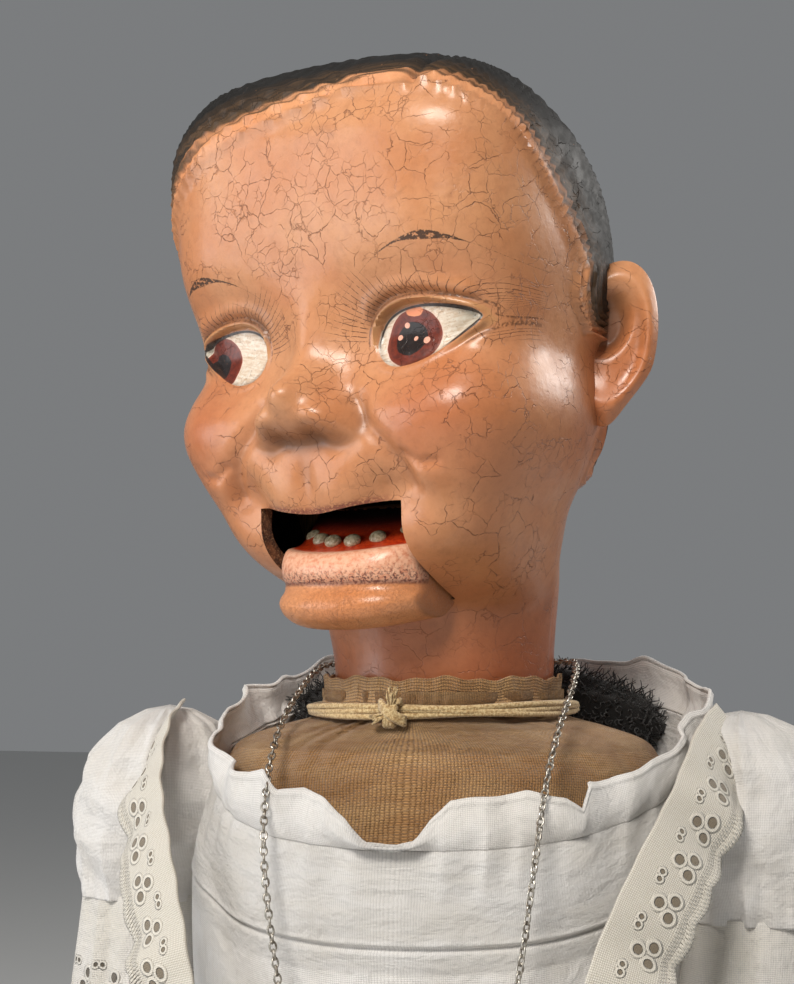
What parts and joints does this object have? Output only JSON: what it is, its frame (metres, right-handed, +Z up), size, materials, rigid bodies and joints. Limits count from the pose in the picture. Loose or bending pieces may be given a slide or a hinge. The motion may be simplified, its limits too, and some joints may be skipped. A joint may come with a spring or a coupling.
{
  "type": "ventriloquist dummy",
  "caption": "Seated ventriloquist dummy with a composition head, string-worked jaw, stuffed cloth body and limbs, white cotton blouse and bloomers.",
  "frame": {"origin": "on the flat underside of the seat, under the neck's upright axis", "axes": "+Z up along the neck; the body faces -Y; +X is the dummy's left"},
  "size_m": [0.226, 0.3597, 0.47],
  "materials": {
    "painted_composition": "glossy crazed flesh paint on pressed wood-pulp composition",
    "tooth_paint": "gloss cream paint",
    "wood_fittings": "bare softwood",
    "steel_axle": "drawn wire",
    "brass_eyelet": "tarnished",
    "muslin": "coarse unbleached plain weave, stuffed",
    "cotton_twine": "loosely laid cream cotton",
    "black_wool": "fuzzy black wool",
    "white_cotton": "fine white cotton",
    "eyelet_lace": "off-white embroidered eyelet",
    "shirt_button": "pearly",
    "silver_chain": "bright silver-coloured links",
    "black_shoe_paint": "gloss black paint on composition"
  },
  "bodies": {
    "torso": {"torso_bag": "muslin", "neck_collar": "muslin", "neck_twine": "cotton_twine", "wool_back_pad": "black_wool", "blouse_body": "white_cotton", "neckline_ruffle": "white_cotton", "bloomers_seat": "white_cotton", "lace_band_left": "eyelet_lace", "lace_band_right": "eyelet_lace", "back_buttons": "shirt_button", "necklace_chain": "silver_chain", "chain_clasp": "silver_chain"},
    "head": {"face_shell": "painted_composition", "back_shell": "painted_composition", "axle_block_left": "wood_fittings", "axle_block_right": "wood_fittings", "jaw_axle": "steel_axle", "neck_plug": "wood_fittings", "string_eyelet": "brass_eyelet"},
    "jaw": {"jaw_shell": "painted_composition", "lower_teeth": "tooth_paint", "jaw_lever": "wood_fittings"},
    "arm_left": {"upper_arm_left": "muslin", "sleeve_left": "white_cotton", "sleeve_flounce_left": "eyelet_lace"},
    "lower_arm_left": {"forearm_left": "muslin", "wrist_tie_left": "cotton_twine", "hand_left": "painted_composition"},
    "leg_left": {"thigh_left": "muslin", "bloomers_leg_left": "white_cotton", "bloomers_lace_left": "eyelet_lace"},
    "lower_leg_left": {"shin_left": "muslin", "ankle_tie_left": "cotton_twine", "shoe_left": "black_shoe_paint"},
    "arm_right": {"upper_arm_right": "muslin", "sleeve_right": "white_cotton", "sleeve_flounce_right": "eyelet_lace"},
    "lower_arm_right": {"forearm_right": "muslin", "wrist_tie_right": "cotton_twine", "hand_right": "painted_composition"},
    "leg_right": {"thigh_right": "muslin", "bloomers_leg_right": "white_cotton", "bloomers_lace_right": "eyelet_lace"},
    "lower_leg_right": {"shin_right": "muslin", "ankle_tie_right": "cotton_twine", "shoe_right": "black_shoe_paint"}
  },
  "joints": [
    {"name": "head_turn", "type": "hinge", "parent": "torso", "child": "head", "pos_m": [0, 0, 0.28], "axis": [0, 0, 1], "range_deg": [-22, 68]},
    {"name": "jaw_hinge", "type": "hinge", "parent": "head", "child": "jaw", "pos_m": [-0.00313, -0.00736, 0.34], "axis": [-0.9205, 0.3907, 0], "range_deg": [0, 12]},
    {"name": "shoulder_left", "type": "hinge", "parent": "torso", "child": "arm_left", "pos_m": [0.086, 0.002, 0.262], "axis": [-1, 0, 0], "range_deg": [-40, 120]},
    {"name": "elbow_left", "type": "hinge", "parent": "arm_left", "child": "lower_arm_left", "pos_m": [0.086, 0.002, 0.15], "axis": [-1, 0, 0], "range_deg": [0, 90]},
    {"name": "hip_left", "type": "hinge", "parent": "torso", "child": "leg_left", "pos_m": [0.036, -0.022, 0.0302], "axis": [1, 0, 0], "range_deg": [-10, 90]},
    {"name": "knee_left", "type": "hinge", "parent": "leg_left", "child": "lower_leg_left", "pos_m": [0.036, -0.15, 0.0302], "axis": [1, 0, 0], "range_deg": [0, 90]},
    {"name": "shoulder_right", "type": "hinge", "parent": "torso", "child": "arm_right", "pos_m": [-0.086, 0.002, 0.262], "axis": [-1, 0, 0], "range_deg": [-40, 120]},
    {"name": "elbow_right", "type": "hinge", "parent": "arm_right", "child": "lower_arm_right", "pos_m": [-0.086, 0.002, 0.15], "axis": [-1, 0, 0], "range_deg": [0, 90]},
    {"name": "hip_right", "type": "hinge", "parent": "torso", "child": "leg_right", "pos_m": [-0.036, -0.022, 0.0302], "axis": [1, 0, 0], "range_deg": [-10, 90]},
    {"name": "knee_right", "type": "hinge", "parent": "leg_right", "child": "lower_leg_right", "pos_m": [-0.036, -0.15, 0.0302], "axis": [1, 0, 0], "range_deg": [0, 90]}
  ]
}
